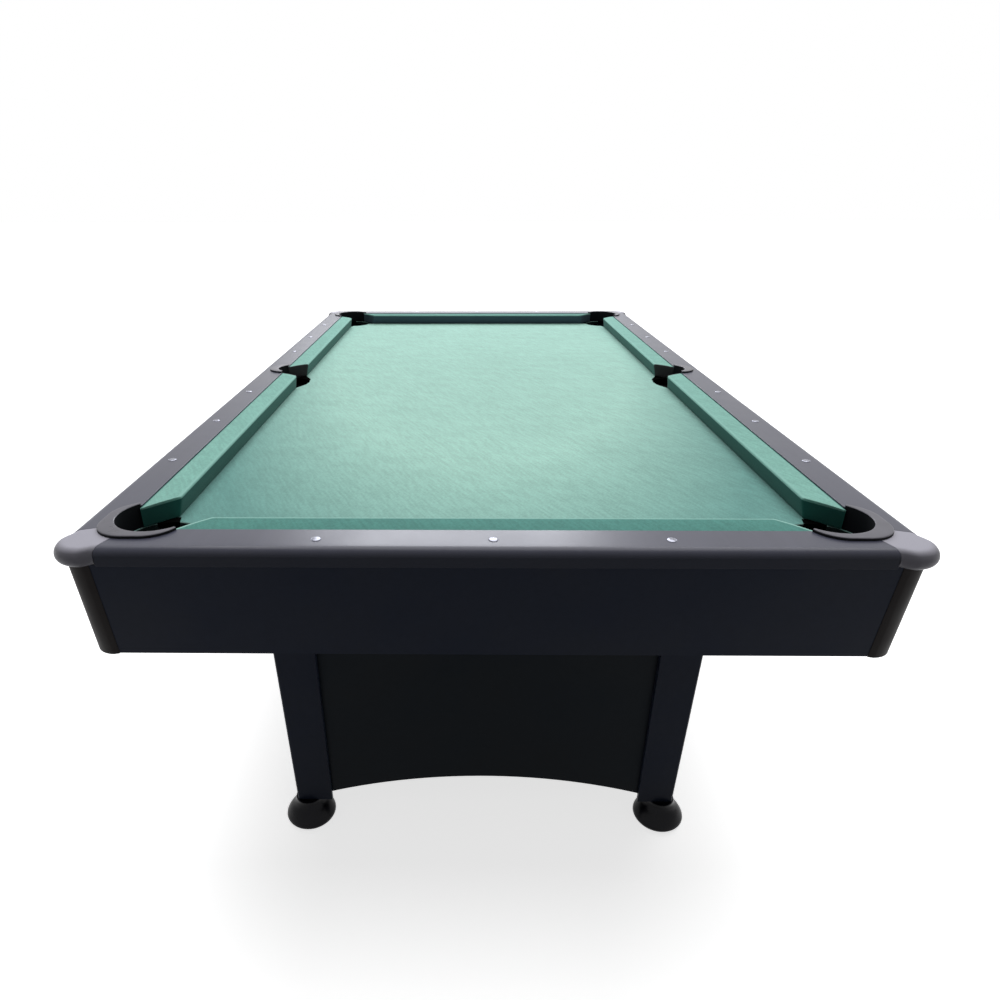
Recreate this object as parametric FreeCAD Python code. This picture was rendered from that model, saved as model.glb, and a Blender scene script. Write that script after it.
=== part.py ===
import FreeCAD, Part
import math
import os
from FreeCAD import Vector

# Billiard table, 8 ft playing field, six drop pockets, in millimetres.
# X runs across the table, Y along it, Z up. The origin is on the floor under the middle.
# The near end is at -Y. A reach is a distance outwards from the line of the cushion noses.

# playing field and heights
field_width = 1118.0
field_length = 2235.0
rail_top = 800.0
nose_drop = 1.0
nose_height = 38.0
cut_over = 20.0
hexagon_sides = 6
quarter = math.pi / 2

# bed
cloth_thickness = 0.8
bed_thickness = 25.0
bed_gap = 6.5

# cushions
cushion_depth = 52.5
cushion_setback = 6.0
cushion_back_drop = 1.4
cushion_lift = 0.3
nose_radius = 5.0
nose_lead = 0.9
cover_thickness = 1.0
corner_nose_cut = 89.0
corner_back_cut = 35.0
side_nose_gap = 80.0
side_back_gap = 40.0
corner_jaw_radius = 6.0
side_jaw_radius = 12.0

# rails
rail_reach = 125.0
rail_edge_radius = 15.0
rail_face_height = 31.0

# pockets
pocket_sides = 24
corner_pocket_reach = 5.0
corner_pocket_radius = 66.0
side_pocket_reach = 26.5
side_pocket_radius = 46.0
liner_wall = 4.0
flange_thickness = 5.0
flange_bevel = 1.5

# cabinet
apron_step = 5.5
apron_thickness = 18.0
apron_height = 171.6
apron_lean = 7.5

# base, its insets from the cushion noses taken at the top of its posts
base_side_inset = 127.0
base_end_inset = 68.5
post_width = 86.5
post_taper = 8.0
post_step = 16.0
foot_height = 60.0
panel_recess = 16.0
panel_thickness = 18.0

# places worked out from the sizes above
half_width = field_width / 2
half_length = field_length / 2
nose_level = rail_top - nose_drop
cloth_top = nose_level - nose_height
bed_top = cloth_top - cloth_thickness
bed_bottom = bed_top - bed_thickness
rail_bottom = rail_top - rail_face_height
apron_bottom = rail_bottom - apron_height
apron_top_reach = rail_reach - apron_step
bed_reach = apron_top_reach - apron_thickness - bed_gap
base_half_width = half_width - base_side_inset
base_half_length = half_length - base_end_inset
panel_x = base_half_width - panel_recess
panel_y = base_half_length - panel_recess

names_of_ends = {-1: "near", 1: "far"}
names_of_sides = {-1: "left", 1: "right"}
corners = [(side, end) for end in (-1, 1) for side in (-1, 1)]
origin = Vector(0, 0, 0)


def name_of_corner(side, end):
    return names_of_ends[end] + "_" + names_of_sides[side]


def mirrored(shape, side, end):
    # a piece made in the far right quarter, moved to another quarter
    if side < 0:
        shape = shape.mirror(origin, Vector(1, 0, 0))
    if end < 0:
        shape = shape.mirror(origin, Vector(0, 1, 0))
    return shape


def box(low, high):
    size = Vector(*high) - Vector(*low)
    return Part.makeBox(size.x, size.y, size.z, Vector(*low))


def cylinder(radius, x, y, low, high):
    return Part.makeCylinder(radius, high - low, Vector(x, y, low))


def rounded_wire(outline, place):
    # closed outline of (u, v, radius) corners, each rounded by a tangent arc
    edges = []
    starts = []
    ends = []
    middles = []
    for index, (u, v, radius) in enumerate(outline):
        corner = Vector(u, v, 0)
        before = Vector(*outline[index - 1][:2], 0) - corner
        after = Vector(*outline[(index + 1) % len(outline)][:2], 0) - corner
        before.normalize()
        after.normalize()
        if radius <= 0:
            starts.append(corner)
            ends.append(corner)
            middles.append(None)
            continue
        half = before.getAngle(after) / 2
        inward = before + after
        inward.normalize()
        starts.append(corner + before * (radius / math.tan(half)))
        ends.append(corner + after * (radius / math.tan(half)))
        middles.append(corner + inward * (radius / math.sin(half) - radius))
    for index in range(len(outline)):
        following = (index + 1) % len(outline)
        if middles[index] is not None:
            points = [place(p.x, p.y) for p in (starts[index], middles[index], ends[index])]
            edges.append(Part.Arc(*points).toShape())
        run = [place(p.x, p.y) for p in (ends[index], starts[following])]
        edges.append(Part.makeLine(*run))
    return Part.Wire(edges)


def rounded_face(outline, place):
    return Part.Face(rounded_wire(outline, place))


def plan(level):
    # places a plan point, given as reaches from the corner of the playing field
    return lambda u, v: Vector(half_width + u, half_length + v, level)


def end_section(x):
    # places a section of an end piece: u is the reach, v the height
    return lambda u, v: Vector(x, half_length + u, v)


def side_section(y):
    return lambda u, v: Vector(half_width + u, y, v)


def around(x, y, radius, sides):
    # corners of an even outline about a standing axis
    step = math.tau / sides
    return [(x + radius * math.cos(step * k), y + radius * math.sin(step * k)) for k in range(sides)]


def clear_around(x, y, radius, sides):
    # the same with its sides, not its corners, at the radius
    return around(x, y, radius / math.cos(math.pi / sides), sides)


def arc(u, v, radius, start, stop, steps):
    # points along an arc of an outline
    angles = [start + (stop - start) * k / steps for k in range(steps + 1)]
    return [(u + radius * math.cos(angle), v + radius * math.sin(angle)) for angle in angles]


def prism(outline, low, high):
    points = [Vector(x, y, low) for x, y in outline]
    return Part.Face(Part.makePolygon(points + points[:1])).extrude(Vector(0, 0, high - low))


def standing(outline, low, high):
    # prism over a plan outline given as reaches from the corner of the playing field
    return prism([(half_width + u, half_length + v) for u, v in outline], low, high)


def skinned(rings):
    # solid between closed outlines with as many corners each, flat at both ends
    faces = [Part.Face(Part.makePolygon(ring + ring[:1])) for ring in (rings[0], rings[-1])]
    for lower, upper in zip(rings, rings[1:]):
        for k in range(len(lower)):
            side = [lower[k - 1], lower[k], upper[k], upper[k - 1]]
            faces.append(Part.Face(Part.makePolygon(side + side[:1])))
    solid = Part.Solid(Part.Shell(faces))
    if solid.Volume < 0:
        solid.reverse()
    return solid


def turned(rings, x, y, sides):
    # flat-sided turned piece, its rings given as radius and height from end to end
    return skinned([[Vector(u, v, height) for u, v in around(x, y, radius, sides)] for radius, height in rings])


def stacked(outlines_and_levels):
    # solid over plan outlines of reaches, one above the other
    return skinned([[Vector(half_width + u, half_length + v, level) for u, v in outline]
                    for outline, level in outlines_and_levels])


def inset(outline, amount):
    # an outline that runs anticlockwise, drawn in by the amount along each of its sides
    moved = []
    for k, (u, v) in enumerate(outline):
        before = Vector(u - outline[k - 1][0], v - outline[k - 1][1], 0)
        following = outline[(k + 1) % len(outline)]
        after = Vector(following[0] - u, following[1] - v, 0)
        before.normalize()
        after.normalize()
        across = Vector(-before.y - after.y, before.x + after.x, 0)
        shift = across * (amount / (1 + before.dot(after)))
        moved.append((u + shift.x, v + shift.y))
    return moved


def export(name, solids):
    shape = solids[0] if len(solids) == 1 else Part.makeCompound(solids)
    shape.exportStep("parts/" + name + ".step")


def apron_reach(level):
    # reach of the leaning outer face of the aprons at a height
    return apron_top_reach - apron_lean * (rail_bottom - level) / apron_height


# Pocket places: the corner pockets and, at the middle of the long sides, the side pockets.
corner_pocket_x = half_width + corner_pocket_reach
corner_pocket_y = half_length + corner_pocket_reach
side_pocket_x = half_width + side_pocket_reach


pocket_places = [(side * corner_pocket_x, end * corner_pocket_y, corner_pocket_radius) for side, end in corners]
pocket_places += [(side * side_pocket_x, 0, side_pocket_radius) for side in (-1, 1)]


def throat(x, y, radius, low, high):
    return prism(around(x, y, radius, pocket_sides), low, high)


# Bed: one board with open notches at its corners and at the middle of its sides,
# and the rail bolts' holes.
bolt_radius = 4.0
bolt_clearance = 1.0
bolt_head_radius = 7.5
bolt_head_height = 5.5
bolt_bite = 24.0
bolt_place_share = 9 / 17
end_bolt_shares = [-0.3, 0.3]
side_bolt_shares = [-0.35, -0.15, 0.15, 0.35]
bolt_reach = cushion_depth + bolt_place_share * (bed_reach - cushion_depth)


def bolt_places():
    places = []
    for end in (-1, 1):
        y = end * (half_length + bolt_reach)
        places += [(share * field_width, y) for share in end_bolt_shares]
    for side in (-1, 1):
        x = side * (half_width + bolt_reach)
        places += [(x, share * field_length) for share in side_bolt_shares]
    return places


def bolt_holes(radius, low, high):
    return [prism(around(x, y, radius, hexagon_sides), low, high) for x, y in bolt_places()]


def bed_notches(low, high):
    notches = [throat(x, y, radius, low, high) for x, y, radius in pocket_places]
    edge_x = half_width + bed_reach + cut_over
    edge_y = half_length + bed_reach + cut_over
    for side, end in corners:
        notch = box((corner_pocket_x, corner_pocket_y, low), (edge_x, edge_y, high))
        notches.append(mirrored(notch, side, end))
    for side in (-1, 1):
        notch = box((side_pocket_x, -side_pocket_radius, low), (edge_x, side_pocket_radius, high))
        notches.append(mirrored(notch, side, 1))
    return notches


def bed_layer(low, high):
    edge_x = half_width + bed_reach
    edge_y = half_length + bed_reach
    layer = box((-edge_x, -edge_y, low), (edge_x, edge_y, high))
    below = low - cut_over
    above = high + cut_over
    return layer.cut(bed_notches(below, above) + bolt_holes(bolt_radius + bolt_clearance, below, above))


export("bed_panel", [bed_layer(bed_bottom, bed_top)])
export("bed_cloth", [bed_layer(bed_top, cloth_top)])


# Rail bolts: hexagon bolts put up through the bed into the rails.
def rail_bolt(x, y):
    head = prism(around(x, y, bolt_head_radius, hexagon_sides), bed_bottom - bolt_head_height, bed_bottom)
    shank = prism(around(x, y, bolt_radius, hexagon_sides), bed_bottom, cloth_top + bolt_bite)
    return head.fuse(shank).removeSplitter()


export("rail_bolts", [rail_bolt(x, y) for x, y in bolt_places()])


# Corner caps meet the rails on joints that lean towards the pocket.
cap_joint_reach = 58.0
cap_joint_lean_share = 0.31
cap_overhang = 11.0
cap_corner_radius = 50.0
cap_under_radius = 13.0
cap_wall = 18.0
cap_hollow_start = 66.0
cap_roof = 8.0
cap_corner_steps = 6
cap_edge_steps = 4
cap_under_steps = 2
cap_reach = rail_reach + cap_overhang


def joint_reach(reach):
    return cap_joint_reach - cap_joint_lean_share * (rail_reach - reach)


def beyond_joint(outer):
    # plan outline beside an end rail's joint, out to the named reach or inwards
    far = cap_reach + cut_over
    return [(joint_reach(0), 0), (joint_reach(far), far), (outer, far), (outer, 0)]


def swapped(outline):
    return [(v, u) for u, v in outline]


# Rails: a top board with a rounded outer edge and a lip over the apron.
sight_inset = 37.0
sight_radius = 8.0
sight_top_radius = 5.0
sight_edge = 0.7
sight_crown = 1.8
sight_sides = 10
end_sight_shares = [-0.25, 0.0, 0.25]
side_sight_shares = [-0.375, -0.25, -0.125, 0.125, 0.25, 0.375]
sight_reach = rail_reach - sight_inset


def sight_places():
    places = []
    for end in (-1, 1):
        y = end * (half_length + sight_reach)
        places += [(share * field_width, y) for share in end_sight_shares]
    for side in (-1, 1):
        x = side * (half_width + sight_reach)
        places += [(x, share * field_length) for share in side_sight_shares]
    return places


rail_outline = [
    (cushion_depth, cloth_top, 0),
    (bed_reach, cloth_top, 0),
    (bed_reach, rail_bottom, 0),
    (rail_reach, rail_bottom, 0),
    (rail_reach, rail_top, rail_edge_radius),
    (cushion_depth, rail_top, 0),
]
rail_low = cloth_top - cut_over
rail_high = rail_top + cut_over
rail_far = cap_reach + cut_over


def rail_cuts():
    cuts = [throat(x, y, radius + liner_wall, rail_low, rail_high) for x, y, radius in pocket_places]
    return cuts + bolt_holes(bolt_radius, rail_low, cloth_top + bolt_bite)


def end_rail():
    start = -half_width - rail_far
    rail = rounded_face(rail_outline, end_section(start)).extrude(Vector(-2 * start, 0, 0))
    beyond = standing(beyond_joint(rail_far + cut_over), rail_low, rail_high)
    return rail.cut([mirrored(beyond, side, 1) for side in (-1, 1)])


def side_rail():
    start = -half_length - rail_far
    rail = rounded_face(rail_outline, side_section(start)).extrude(Vector(0, -2 * start, 0))
    beyond = standing(swapped(beyond_joint(rail_far + cut_over)), rail_low, rail_high)
    return rail.cut([mirrored(beyond, 1, end) for end in (-1, 1)])


for end, name in names_of_ends.items():
    export("rail_" + name, [mirrored(end_rail(), 1, end).cut(rail_cuts())])
for side, name in names_of_sides.items():
    export("rail_" + name, [mirrored(side_rail(), side, 1).cut(rail_cuts())])


# Sights: crowned metal buttons on the rails.
sight_rings = [(sight_radius, rail_top), (sight_radius, rail_top + sight_edge),
               (sight_top_radius, rail_top + sight_crown)]
export("rail_sights", [turned(sight_rings, x, y, sight_sides) for x, y in sight_places()])


# Corner caps: rounded castings, flush with the rail tops and hollow below.
def corner_outline(start, reach, radius, steps):
    # square corner of the table in plan, rounded at its outermost point
    bend = reach - radius
    return [(start, start), (reach, start)] + arc(bend, bend, radius, 0, quarter, steps) + [(start, reach)]


def cap_rings():
    outline = corner_outline(corner_pocket_reach, cap_reach, cap_corner_radius, cap_corner_steps)
    rings = []
    for k in range(cap_under_steps):
        turn = quarter * k / cap_under_steps
        rings.append((inset(outline, cap_under_radius * (1 - math.sin(turn))),
                      rail_bottom + cap_under_radius * (1 - math.cos(turn))))
    edge_radius = rail_face_height - cap_under_radius
    for k in range(cap_edge_steps + 1):
        turn = quarter * k / cap_edge_steps
        rings.append((inset(outline, edge_radius * (1 - math.cos(turn))),
                      rail_top - edge_radius * (1 - math.sin(turn))))
    return rings


def corner_cap():
    inner = cap_reach - cap_wall
    bevel = cap_hollow_start + cap_wall
    radius = min(cap_corner_radius - cap_wall, inner - bevel)
    bend = inner - radius
    hollow = [(cap_hollow_start, bevel), (bevel, cap_hollow_start), (inner, cap_hollow_start)]
    hollow += arc(bend, bend, radius, 0, quarter, cap_corner_steps)
    hollow.append((cap_hollow_start, inner))
    low = rail_bottom - cut_over
    cuts = [standing(hollow, low, rail_top - cap_roof)]
    cuts.append(standing(beyond_joint(-cut_over), low, rail_high))
    cuts.append(standing(swapped(beyond_joint(-cut_over)), low, rail_high))
    cuts.append(throat(corner_pocket_x, corner_pocket_y, corner_pocket_radius + liner_wall, low, rail_high))
    return stacked(cap_rings()).cut(cuts)


for side, end in corners:
    export("corner_cap_" + name_of_corner(side, end), [mirrored(corner_cap(), side, end)])


# Pocket liners: a collar round the throat under a flange that lies on the rails.
corner_flange_reach = 88.0
corner_flange_radius = 65.0
corner_flange_steps = 6
corner_arm_back = 49.0
corner_arm_width = 8.0
corner_arm_steps = 4
side_flange_reach = 72.5
side_flange_steps = 12


def bevelled(outline):
    # flange over an anticlockwise outline, with its upper edges broken
    top = rail_top + flange_thickness
    return stacked([(outline, rail_top), (outline, top - flange_bevel), (inset(outline, flange_bevel), top)])


def collar(x, y, radius):
    outer = throat(x, y, radius + liner_wall, cloth_top, rail_top)
    return outer.cut(throat(x, y, radius, cloth_top - cut_over, rail_high))


def corner_liner():
    # each arm runs from the pocket's outer corner to its end behind the cushion, first in a
    # straight line and then along an arc that meets that line without a kink
    start = corner_pocket_reach
    reach = start + corner_flange_reach
    arm = cushion_depth + corner_arm_width
    rise = reach - arm
    swing = (corner_arm_back ** 2 + rise ** 2) / (2 * rise)
    turn = 2 * math.atan2(rise, corner_arm_back)
    bend = reach - corner_flange_radius
    first_arm = arc(reach - swing, start, swing, -turn, 0, corner_arm_steps)
    second_arm = arc(start, reach - swing, swing, quarter, quarter + turn, corner_arm_steps)
    outline = first_arm + arc(bend, bend, corner_flange_radius, 0, quarter, corner_flange_steps) + second_arm
    outline += [(start - corner_arm_back, cushion_depth), (cushion_depth, cushion_depth),
                (cushion_depth, start - corner_arm_back)]
    flange = bevelled(outline)
    mouth = [(-cut_over - reach, -cut_over - reach), (cushion_depth, -cut_over - reach), (cushion_depth, start),
             (start, start), (start, cushion_depth), (-cut_over - reach, cushion_depth)]
    around_throat = collar(corner_pocket_x, corner_pocket_y, corner_pocket_radius)
    around_throat = around_throat.cut(standing(mouth, rail_low, rail_high))
    bore = throat(corner_pocket_x, corner_pocket_y, corner_pocket_radius, rail_low, rail_high)
    return flange.cut(bore).fuse(around_throat).removeSplitter()


def side_liner():
    # the flange's outer arc runs from the cushion's back round behind the pocket
    spread = side_pocket_radius
    outer_centre = (side_flange_reach ** 2 - spread ** 2) / (2 * side_flange_reach)
    outer_radius = side_flange_reach - outer_centre
    centre = side_pocket_reach + outer_centre
    swing = math.acos((cushion_depth - centre) / outer_radius)
    outline = arc(centre, -half_length, outer_radius, -swing, swing, side_flange_steps)
    bore = throat(side_pocket_x, 0, side_pocket_radius, rail_low, rail_high)
    behind = cushion_depth - cut_over - side_flange_reach
    spread_over = side_flange_reach + cut_over
    mouth = box((half_width + behind, -spread_over, rail_low), (half_width + cushion_depth, spread_over, rail_high))
    around_throat = collar(side_pocket_x, 0, side_pocket_radius).cut(mouth)
    return bevelled(outline).cut(bore).fuse(around_throat).removeSplitter()


for side, end in corners:
    export("pocket_liner_" + name_of_corner(side, end), [mirrored(corner_liner(), side, end)])
for side, name in names_of_sides.items():
    export("pocket_liner_side_" + name, [mirrored(side_liner(), side, 1)])


# Pocket buckets: plastic cups hung under the bed, where the balls drop.
bucket_rim = 9.0
bucket_rim_height = 4.0
bucket_wall = 3.5
bucket_depth = 115.0
corner_bucket_taper = 14.0
side_bucket_taper = 4.0
bucket_sides = 16


def bucket(x, y, radius, taper):
    low = bed_bottom - bucket_depth
    rings = [
        (radius - taper + bucket_wall, low),
        (radius + bucket_wall, bed_bottom - bucket_rim_height),
        (radius + bucket_rim, bed_bottom - bucket_rim_height),
        (radius + bucket_rim, bed_bottom),
        (radius, bed_bottom),
        (radius - taper, low + bucket_wall),
    ]
    return turned(rings, x, y, bucket_sides)


tapers = [corner_bucket_taper] * len(corners) + [side_bucket_taper] * len(names_of_sides)
buckets = [bucket(*place, taper) for place, taper in zip(pocket_places, tapers)]
export("pocket_buckets", buckets)


# Cushions: a rubber core under a cloth cover, glued to the rails along its back.
def upright(outline, low, high):
    return rounded_face(outline, plan(low)).extrude(Vector(0, 0, high - low))


def cushion_outline(skin):
    # the nose's corner stands ahead of the nose line by what its rounding takes away
    low = cloth_top + cushion_lift + skin
    return [(cushion_depth, low, 0), (cushion_setback + skin, low, 0),
            (skin - nose_lead, nose_level - skin, nose_radius - skin),
            (cushion_depth, nose_level - cushion_back_drop - skin, 0)]


def end_cushion(skin):
    start = -half_width
    bar = rounded_face(cushion_outline(skin), end_section(start)).extrude(Vector(field_width, 0, 0))
    front = skin - nose_lead
    nose = corner_nose_cut + skin
    back = corner_back_cut + skin
    outline = [(-nose, front, corner_jaw_radius), (-back, cushion_depth, 0),
               (back - field_width, cushion_depth, 0), (nose - field_width, front, corner_jaw_radius)]
    return bar.common(upright(outline, rail_low, rail_high))


def side_cushion(skin):
    bar = rounded_face(cushion_outline(skin), side_section(0)).extrude(Vector(0, half_length, 0))
    front = skin - nose_lead
    outline = [(front, -corner_nose_cut - skin, corner_jaw_radius), (cushion_depth, -corner_back_cut - skin, 0),
               (cushion_depth, side_back_gap + skin - half_length, 0),
               (front, side_nose_gap + skin - half_length, side_jaw_radius)]
    return bar.common(upright(outline, rail_low, rail_high))


end_core = end_cushion(cover_thickness)
side_core = side_cushion(cover_thickness)
end_cover = end_cushion(0).cut(end_core)
side_cover = side_cushion(0).cut(side_core)
cores = [mirrored(end_core, 1, end) for end in (-1, 1)]
cores += [mirrored(side_core, side, end) for side, end in corners]
export("cushion_cores", cores)
for end, name in names_of_ends.items():
    export("cushion_cover_" + name, [mirrored(end_cover, 1, end)])
for side, end in corners:
    name = names_of_sides[side] + "_" + names_of_ends[end]
    export("cushion_cover_" + name, [mirrored(side_cover, side, end)])


# Aprons: boards under the rails that lean inwards, with their ends cut to the same lean.
strip_thickness = 3.0
strip_radius = 40.0
strip_overlap = 5.0
strip_drop = 1.0
strip_steps = 6


def leaning(outline_at, low, high):
    return stacked([(outline_at(apron_reach(level)), level) for level in (low, high)])


def apron_end(reach):
    # where an apron stops under the corner strip
    return reach + strip_thickness - strip_radius


def end_apron(reach):
    stop = apron_end(reach)
    return [(stop, reach - apron_thickness), (stop, reach),
            (-field_width - stop, reach), (-field_width - stop, reach - apron_thickness)]


def side_apron(reach):
    stop = apron_end(reach)
    return [(reach - apron_thickness, stop), (reach, stop),
            (reach, -field_length - stop), (reach - apron_thickness, -field_length - stop)]


for end, name in names_of_ends.items():
    export("apron_" + name, [mirrored(leaning(end_apron, apron_bottom, rail_bottom), 1, end)])
for side, name in names_of_sides.items():
    export("apron_" + name, [mirrored(leaning(side_apron, apron_bottom, rail_bottom), side, 1)])


# Corner strips: quarter round extrusions over the ends of the aprons.
def corner_strip(inner):
    outer = inner + strip_thickness
    start = apron_end(inner) - strip_overlap
    bend = outer - strip_radius
    outline = [(start, inner)] + arc(bend, bend, strip_radius - strip_thickness, quarter, 0, strip_steps)
    outline += [(inner, start), (outer, start)] + arc(bend, bend, strip_radius, 0, quarter, strip_steps)
    return outline + [(start, outer)]


for side, end in corners:
    strip = leaning(corner_strip, apron_bottom - strip_drop, rail_bottom)
    export("corner_strip_" + name_of_corner(side, end), [mirrored(strip, side, end)])


# Corner blocks: glued behind the ends of the aprons, and clear of the buckets.
block_width = 37.5
block_lift = 6.0
block_play = 8.0
block_start = apron_top_reach - apron_thickness - block_width


def corner_block(reach):
    stop = reach - apron_thickness
    return [(block_start, block_start), (stop, block_start), (stop, stop), (block_start, stop)]


hollow_radius = corner_pocket_radius + bucket_rim + block_play
hollow_for_bucket = throat(corner_pocket_x, corner_pocket_y, hollow_radius, apron_bottom, rail_top)
block = leaning(corner_block, apron_bottom + block_lift, rail_bottom).cut(hollow_for_bucket)
export("corner_blocks", [mirrored(block, side, end) for side, end in corners])


# Bed frame: two long beams on the base's posts, halved into four cross beams.
beam_depth = 100.0
beam_thickness = 36.0
beam_play = 1.2
beam_bottom = bed_bottom - beam_depth
beam_middle = bed_bottom - beam_depth / 2
beside_bolt = max(share for share in side_bolt_shares if share < max(side_bolt_shares)) * field_length
cross_beam_outers = [panel_y, beside_bolt + bolt_head_radius + beam_play + beam_thickness]


def side_beam():
    outline = []
    for level in (beam_bottom, bed_bottom):
        outline.append((half_length + apron_reach(level) - apron_thickness, level))
    for level in (bed_bottom, beam_bottom):
        outline.append((-half_length - apron_reach(level) + apron_thickness, level))
    points = [Vector(panel_x - beam_thickness, y, z) for y, z in outline]
    beam = Part.Face(Part.makePolygon(points + points[:1])).extrude(Vector(beam_thickness, 0, 0))
    laps = []
    for outer in cross_beam_outers:
        lap = box((0, outer - beam_thickness, beam_middle), (half_width, outer, bed_top))
        laps += [lap, mirrored(lap, 1, -1)]
    return beam.cut(laps)


def cross_beam(outer):
    outline = []
    for level in (beam_bottom, bed_bottom):
        outline.append((half_width + apron_reach(level) - apron_thickness, level))
    for level in (bed_bottom, beam_bottom):
        outline.append((-half_width - apron_reach(level) + apron_thickness, level))
    points = [Vector(x, outer - beam_thickness, z) for x, z in outline]
    beam = Part.Face(Part.makePolygon(points + points[:1])).extrude(Vector(0, beam_thickness, 0))
    lap = box((panel_x - beam_thickness, 0, apron_bottom), (panel_x, half_length, beam_middle))
    return beam.cut([lap, mirrored(lap, -1, 1)])


export("side_beams", [mirrored(side_beam(), side, 1) for side in (-1, 1)])
export("cross_beams", [mirrored(cross_beam(outer), 1, end) for end in (-1, 1) for outer in cross_beam_outers])


# Base: four posts, each over a levelling foot. Each is a block behind two facing boards, whose
# outer faces lean in towards the floor.
post_bevel = 3.0
foot_inset_x = 31.0
foot_inset_y = 25.5
stud_radius = 6.0
stud_clearance = 0.3
stud_rise = 65.0
stud_well = 20.0
stud_sides = 12
jam_nut_radius = 11.0
jam_nut_height = 8.0
well_radius = 13.0
well_spare = 2.0
nut_flange_height = 2.0
nut_flange_play = 0.3
nut_barrel_radius = 9.0
nut_barrel_height = 22.0
nut_sides = 8
post_inner_x = base_half_width - post_width
post_inner_y = base_half_length - post_width
block_inner_x = post_inner_x + post_step
block_inner_y = post_inner_y + post_step
foot_x = base_half_width - foot_inset_x
foot_y = base_half_length - foot_inset_y
nut_seat = foot_height + jam_nut_height + well_spare
nut_top = nut_seat + nut_flange_height + nut_barrel_height


def post_ring(level, taper):
    outer_x = base_half_width - taper
    outer_y = base_half_length - taper
    outline = [(block_inner_x, block_inner_y), (panel_x, block_inner_y), (panel_x, post_inner_y),
               (outer_x, post_inner_y), (outer_x, outer_y - post_bevel), (outer_x - post_bevel, outer_y),
               (post_inner_x, outer_y), (post_inner_x, panel_y), (block_inner_x, panel_y)]
    return [Vector(x, y, level) for x, y in outline]


def post():
    body = skinned([post_ring(foot_height, post_taper), post_ring(beam_bottom, 0)])
    below = foot_height - cut_over
    bore_radius = stud_radius + 2 * stud_clearance
    cuts = [
        prism(clear_around(foot_x, foot_y, well_radius, stud_sides), below, nut_seat + nut_flange_height),
        prism(around(foot_x, foot_y, nut_barrel_radius, nut_sides), below, nut_top),
        prism(clear_around(foot_x, foot_y, bore_radius, nut_sides), below, foot_height + stud_rise + stud_well),
    ]
    return body.cut(cuts)


for side, end in corners:
    export("post_" + name_of_corner(side, end), [mirrored(post(), side, end)])


# Foot nuts: flanged nuts pressed up into the posts.
def foot_nut():
    flange = prism(around(foot_x, foot_y, well_radius - nut_flange_play, stud_sides),
                   nut_seat, nut_seat + nut_flange_height)
    barrel = prism(around(foot_x, foot_y, nut_barrel_radius, nut_sides), nut_seat, nut_top)
    bore = prism(clear_around(foot_x, foot_y, stud_radius + stud_clearance, nut_sides),
                 foot_height, nut_top + cut_over)
    return flange.fuse(barrel).removeSplitter().cut(bore)


export("foot_nuts", [mirrored(foot_nut(), side, end) for side, end in corners])


# Base panels between the posts, each with an arched lower edge.
end_arch_foot = 73.0
end_arch_top = 127.0
side_arch_foot = 73.0
side_arch_top = 180.0


def arched_panel(half_span, foot, top, place, thickness):
    edges = [
        Part.makeLine(place(half_span, foot), place(half_span, beam_bottom)),
        Part.makeLine(place(half_span, beam_bottom), place(-half_span, beam_bottom)),
        Part.makeLine(place(-half_span, beam_bottom), place(-half_span, foot)),
        Part.Arc(place(-half_span, foot), place(0, top), place(half_span, foot)).toShape(),
    ]
    return Part.Face(Part.Wire(edges)).extrude(thickness)


def end_panel():
    return arched_panel(block_inner_x, end_arch_foot, end_arch_top,
                        lambda u, v: Vector(u, panel_y, v), Vector(0, -panel_thickness, 0))


def side_panel():
    return arched_panel(block_inner_y, side_arch_foot, side_arch_top,
                        lambda u, v: Vector(panel_x, u, v), Vector(-panel_thickness, 0, 0))


for end, name in names_of_ends.items():
    export("end_panel_" + name, [mirrored(end_panel(), 1, end)])
for side, name in names_of_sides.items():
    export("side_panel_" + name, [mirrored(side_panel(), side, 1)])


# Leg brackets: steel angles between each post and the beam over the end panel.
bracket_leg = 60.0
bracket_thickness = 3.0
bracket_margin = 2.0


def leg_bracket():
    high_y = panel_y - panel_thickness
    low_y = panel_y - beam_thickness + bracket_margin
    standing_leg = box((block_inner_x - bracket_thickness, low_y, beam_bottom - bracket_leg),
                       (block_inner_x, high_y, beam_bottom))
    lying_leg = box((block_inner_x - bracket_leg, low_y, beam_bottom - bracket_thickness),
                    (block_inner_x, high_y, beam_bottom))
    return standing_leg.fuse(lying_leg).removeSplitter()


export("leg_brackets", [mirrored(leg_bracket(), side, end) for side, end in corners])


# Levelling feet: a bell that stands on the floor, on a stud that turns in it and in the foot nut.
foot_gap = 0.5
bell_base_radius = 50.0
bell_radius = 55.5
bell_rim_low = 7.0
bell_rim_high = 14.0
bell_shoulder_radius = 47.0
bell_shoulder_height = 29.0
bell_waist_radius = 34.0
bell_waist_height = 42.0
bell_neck_radius = 30.0
bell_neck_drop = 8.0
bell_hollow_radius = 44.0
bell_hollow_top_radius = 27.0
bell_hollow_height = 34.0
bell_sides = 16
stud_head_radius = 11.0
stud_head_height = 8.0
bell_top = foot_height - foot_gap


def foot_bell():
    rings = [
        (bell_hollow_top_radius, bell_hollow_height),
        (bell_hollow_radius, 0),
        (bell_base_radius, 0),
        (bell_radius, bell_rim_low),
        (bell_radius, bell_rim_high),
        (bell_shoulder_radius, bell_shoulder_height),
        (bell_waist_radius, bell_waist_height),
        (bell_neck_radius, bell_top - bell_neck_drop),
        (bell_neck_radius, bell_top),
    ]
    bore = cylinder(stud_radius + stud_clearance, foot_x, foot_y, 0, bell_top + cut_over)
    return turned(rings, foot_x, foot_y, bell_sides).cut(bore)


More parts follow.
